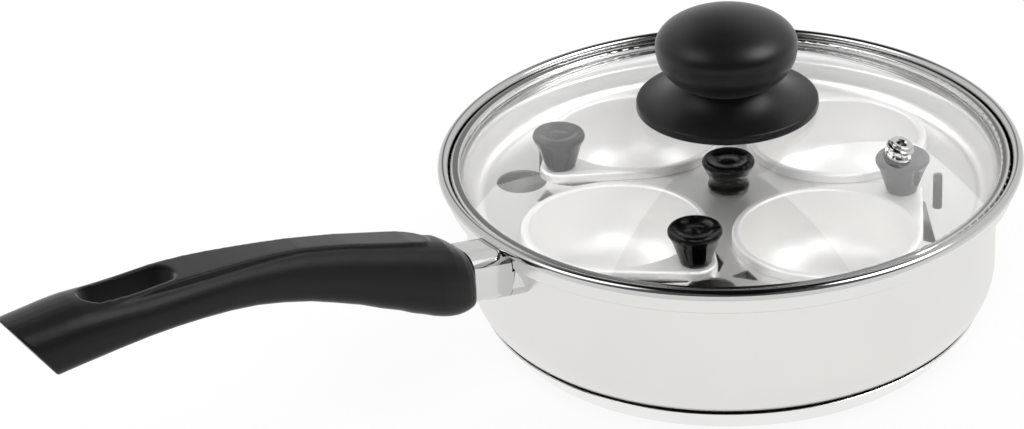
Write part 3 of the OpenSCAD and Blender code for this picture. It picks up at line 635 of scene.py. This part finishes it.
def lid_knob_profile():
    neck_a = -math.acos((NECK_R / BALL_R) ** (1 / BALL_FULLNESS))
    neck_z = BALL_Z - BALL_LOW * math.sin(-neck_a) ** BALL_FULLNESS
    edge, band_top = FLARE_R - FLARE_EDGE_R, FLARE_Z + FLARE_H
    ball = []
    for i in range(1, 19):
        a = neck_a * (1 - i / 18)
        ball.append((BALL_R * math.cos(a) ** BALL_FULLNESS, BALL_Z - BALL_LOW * math.sin(-a) ** BALL_FULLNESS))
    for i in range(1, 25):
        a = math.pi / 2 * i / 24
        ball.append((BALL_R * math.cos(a), BALL_Z + BALL_TOP * math.sin(a)))
    hollow = [(0, SEAL_TOP + 12), (4.2, SEAL_TOP + 12), (4.2, SEAL_TOP),
              (BOSS_R, SEAL_TOP), (BOSS_R, SEAL_TOP - 0.2),
              (NECK_R + 3, FLARE_Z + 2.8), (edge - 1.8, FLARE_Z + 0.8), (edge - 1.8, FLARE_Z)]
    return (hollow + arc(edge, FLARE_Z + FLARE_EDGE_R, FLARE_EDGE_R, -90, 0, 8)
            + arc(edge - 0.1, band_top - FLARE_EDGE_R, FLARE_EDGE_R, 0, 75, 8)
            + bend((edge - 1, band_top + 0.1), (NECK_R + 5, band_top + 1.2), (NECK_R, neck_z), 24) + ball)


dress(lathe("lid_knob_piece", lid_knob_profile(), LID_KNOB_BLACK, closed=False, steps=192, sharp_angle=28),
      "lid", "lid_knob")


# Floor, light and camera
CAMERA_TURN = -33.5
CAMERA_PITCH = 28.31
CAMERA_ROLL = -3.39
CAMERA_AT = (-0.5566, -0.6976, 0.5224)
CAMERA_LENS = 97.5
FLOOR_GLOW = 0.88
WALL_LEVEL = 0.85
MATT_LEVEL = 0.45
WINDOW_HEIGHT = 49


def stage_floor():
    mesh = bpy.data.meshes.new("floor")
    reach = 9.0
    corners = [(-reach, -reach, 0), (reach, -reach, 0), (reach, reach, 0), (-reach, reach, 0)]
    mesh.from_pydata(corners, [], [(0, 1, 2, 3)])
    floor = bpy.data.objects.new("floor", mesh)
    bpy.context.scene.collection.objects.link(floor)
    look = Look("floor", (0.86, 0.86, 0.86), 0.0, 0.9)
    path = look.node("ShaderNodeLightPath")
    seen = look.math("MAXIMUM", path.outputs["Is Camera Ray"],
                     look.math("MAXIMUM", path.outputs["Is Glossy Ray"], path.outputs["Is Transmission Ray"]))
    glow = look.node("ShaderNodeEmission", Strength=1.0)
    mixed = look.node("ShaderNodeMixShader")
    look.join(look.math("MULTIPLY", seen, FLOOR_GLOW), mixed.inputs[0])
    look.join(look.shader.outputs[0], mixed.inputs[1])
    look.join(glow.outputs[0], mixed.inputs[2])
    look.join(mixed.outputs[0], look.tree.nodes["Material Output"].inputs["Surface"])
    mesh.materials.append(look.material)


def camera_side(azimuth, elevation):
    """A direction as the camera sees it: azimuth 0 is towards the camera, 90 to its right."""
    a, e = math.radians(CAMERA_TURN - 90 + azimuth), math.radians(elevation)
    return math.cos(a) * math.cos(e), math.sin(a) * math.cos(e), math.sin(e)


def studio_world():
    """Even light for matt surfaces; metal and glass see a white backdrop, side walls and a dark ceiling."""
    world = bpy.data.worlds.new("studio")
    bpy.context.scene.world = world
    sky = Tree(world)
    sky.tree.nodes.clear()
    way = sky.node("ShaderNodeTexCoord").outputs["Generated"]
    up = sky.along(way, (0, 0, 1))
    right = sky.along(way, camera_side(90, 0))
    side = sky.math("ABSOLUTE", right)
    front = sky.along(way, camera_side(0, 0))
    height = sky.math("SUBTRACT", up, sky.math("MULTIPLY", side, 0.35))
    level = sky.spread(height, 1.0, 0.02, 0.56, 0.74, soft=True)
    level = sky.math("MULTIPLY", level, WALL_LEVEL)
    level = sky.math("MULTIPLY", level, sky.spread(front, 1.0, 0.15, 0.0, 0.6, soft=True))
    # the two side walls leave a dark gap between them over the backdrop
    gap = sky.math("MULTIPLY", sky.spread(side, 0.7, 0.0, 0.06, 0.24, soft=True),
                   sky.spread(up, 0.0, 1.0, 0.25, 0.42, soft=True))
    level = sky.math("MULTIPLY", level, sky.math("SUBTRACT", 1.0, gap))
    for azimuth, strength in ((-76, 2.0), (76, 7.0)):
        toward = sky.along(way, camera_side(azimuth, WINDOW_HEIGHT))
        level = sky.math("ADD", level, sky.spread(toward, 0.0, strength, 0.93, 0.985, soft=True))
    seen = sky.node("ShaderNodeBackground", Strength=1.0)
    sky.join(level, seen.inputs["Color"])
    path = sky.node("ShaderNodeLightPath")
    backdrop = sky.node("ShaderNodeBackground", Strength=1.0)
    backdrop.inputs["Color"].default_value = (1, 1, 1, 1)
    lit = sky.node("ShaderNodeBackground", Strength=MATT_LEVEL)
    lit.inputs["Color"].default_value = (1, 1, 1, 1)
    shiny = sky.node("ShaderNodeMixShader")
    bounced = sky.math("MAXIMUM", path.outputs["Is Glossy Ray"], path.outputs["Is Transmission Ray"])
    sky.join(bounced, shiny.inputs[0])
    sky.join(lit.outputs[0], shiny.inputs[1])
    sky.join(seen.outputs[0], shiny.inputs[2])
    straight = sky.node("ShaderNodeMixShader")
    sky.join(path.outputs["Is Camera Ray"], straight.inputs[0])
    sky.join(shiny.outputs[0], straight.inputs[1])
    sky.join(backdrop.outputs[0], straight.inputs[2])
    sky.join(straight.outputs[0], sky.node("ShaderNodeOutputWorld").inputs[0])


def soft_box(name, place, target, size, power):
    """A rectangular studio lamp aimed at a point."""
    lamp = bpy.data.lights.new(name, "AREA")
    lamp.shape = "RECTANGLE"
    lamp.size, lamp.size_y = size
    lamp.energy = power
    holder = bpy.data.objects.new(name, lamp)
    bpy.context.scene.collection.objects.link(holder)
    holder.location = place
    holder.rotation_euler = (Vector(target) - Vector(place)).to_track_quat("-Z", "Y").to_euler()
    holder.visible_glossy = False


def photo_camera():
    lens = bpy.data.cameras.new("camera")
    lens.lens = CAMERA_LENS
    lens.sensor_width = 36.0
    camera = bpy.data.objects.new("camera", lens)
    bpy.context.scene.collection.objects.link(camera)
    turn = (Matrix.Rotation(math.radians(CAMERA_TURN), 4, "Z")
            @ Matrix.Rotation(math.radians(90 - CAMERA_PITCH), 4, "X")
            @ Matrix.Rotation(math.radians(CAMERA_ROLL), 4, "Z"))
    camera.matrix_world = Matrix.Translation(CAMERA_AT) @ turn
    bpy.context.scene.camera = camera


def around(azimuth, distance, height):
    """A point at a distance and height in a direction as the camera sees it."""
    x, y, _ = camera_side(azimuth, 0)
    return (distance * x, distance * y, height)


stage_floor()
studio_world()
middle = (-0.04, 0, 0.06)
soft_box("left", around(-115, 0.83, 0.98), middle, (1.5, 0.8), 7.5)
soft_box("right", around(115, 0.83, 0.98), middle, (1.5, 0.8), 7.5)
soft_box("front", around(0, 0.9, 1.1), middle, (1.0, 0.8), 9)
photo_camera()
bpy.context.scene.view_settings.view_transform = "Standard"
